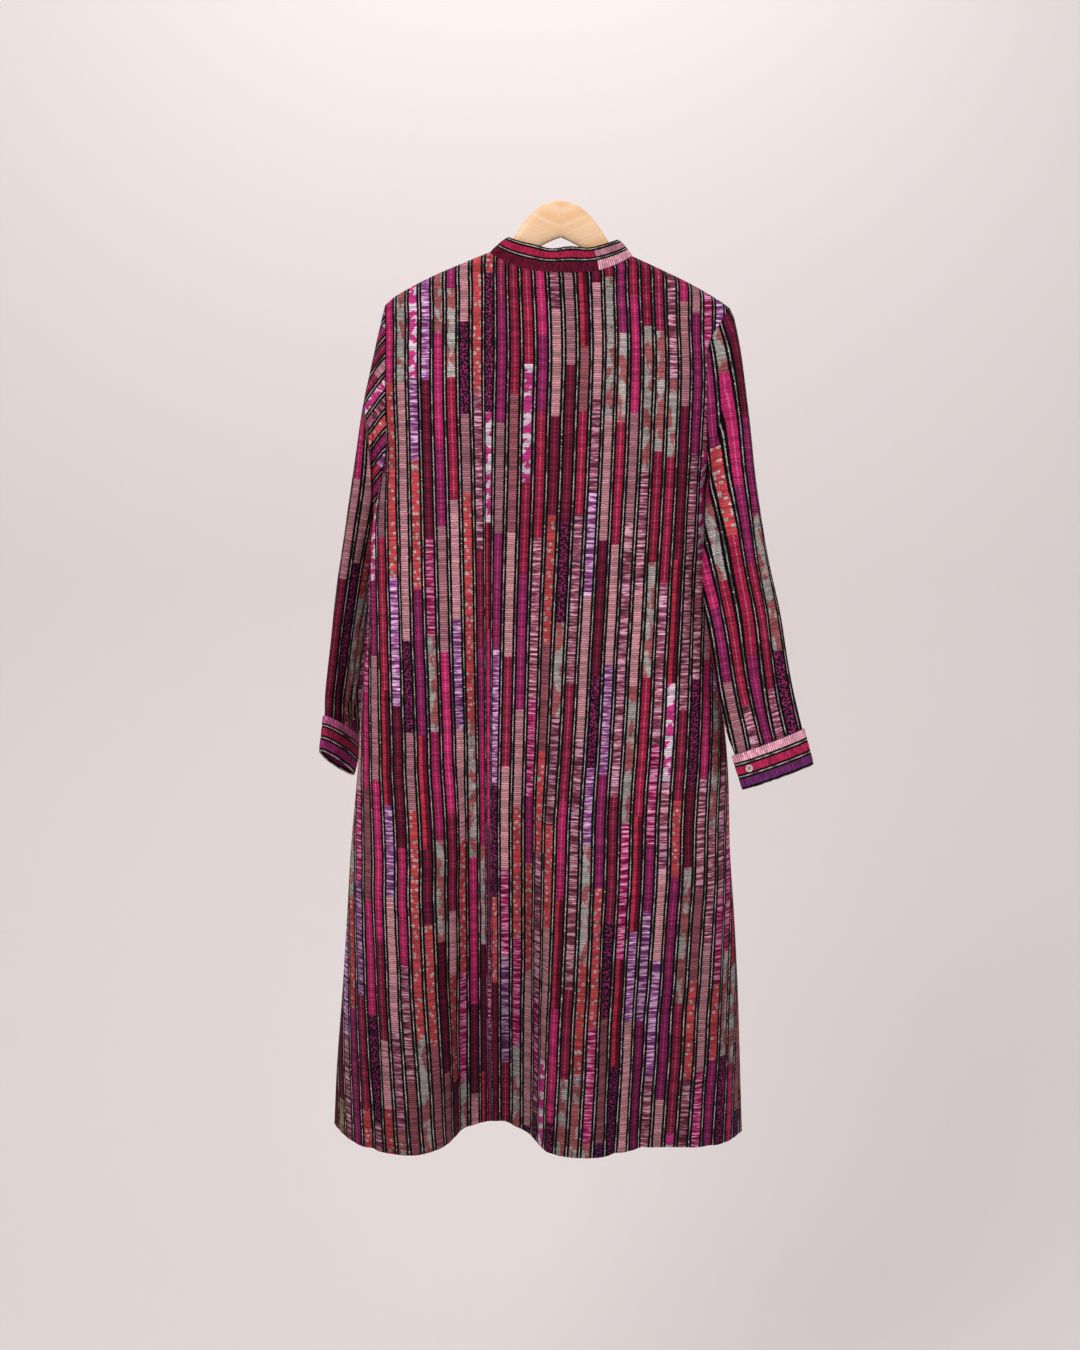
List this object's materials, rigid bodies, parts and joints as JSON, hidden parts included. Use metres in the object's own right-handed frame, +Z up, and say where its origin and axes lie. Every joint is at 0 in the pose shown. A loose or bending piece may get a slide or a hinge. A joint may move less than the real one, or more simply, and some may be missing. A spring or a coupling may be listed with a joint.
{
  "type": "handwoven tunic on a wooden hanger",
  "caption": "Long-sleeved A-line tunic of striped handwoven cloth with a band collar, hung by its shoulders on a wooden hanger.",
  "frame": {"origin": "top of the hanger's crown, on the joint between its two halves, where it is held up", "axes": "+Z up, +X to the right seen from behind the garment, -Y its back and +Y its front"},
  "size_m": [0.5912, 0.2, 1.123],
  "materials": {
    "striped_cloth": "pieced, ribbed handwoven cloth, matt with a slight sheen",
    "band_cloth": "the same cloth laid crosswise and doubled",
    "button": "pale shell-like, satin",
    "wood": "pale clear-coated beech, satin"
  },
  "bodies": {
    "root": {"back_chest_left": "striped_cloth", "back_chest_right": "striped_cloth", "back_waist_left": "striped_cloth", "back_waist_right": "striped_cloth", "back_hip_left": "striped_cloth", "back_hip_right": "striped_cloth", "back_hem_left": "striped_cloth", "back_hem_right": "striped_cloth", "front_chest_left": "striped_cloth", "front_chest_right": "striped_cloth", "front_waist_left": "striped_cloth", "front_waist_right": "striped_cloth", "front_hem_left": "striped_cloth", "front_hem_right": "striped_cloth", "sleeve_left_upper": "striped_cloth", "sleeve_left_lower": "striped_cloth", "sleeve_right_upper": "striped_cloth", "sleeve_right_lower": "striped_cloth", "front_placket": "striped_cloth", "collar_band": "band_cloth", "cuff_left": "band_cloth", "cuff_right": "band_cloth", "cuff_button_left": "button", "cuff_button_right": "button", "front_button_1": "button", "front_button_2": "button", "front_button_3": "button", "front_button_4": "button", "hanger_left_half": "wood", "hanger_right_half": "wood"}
  },
  "joints": []
}
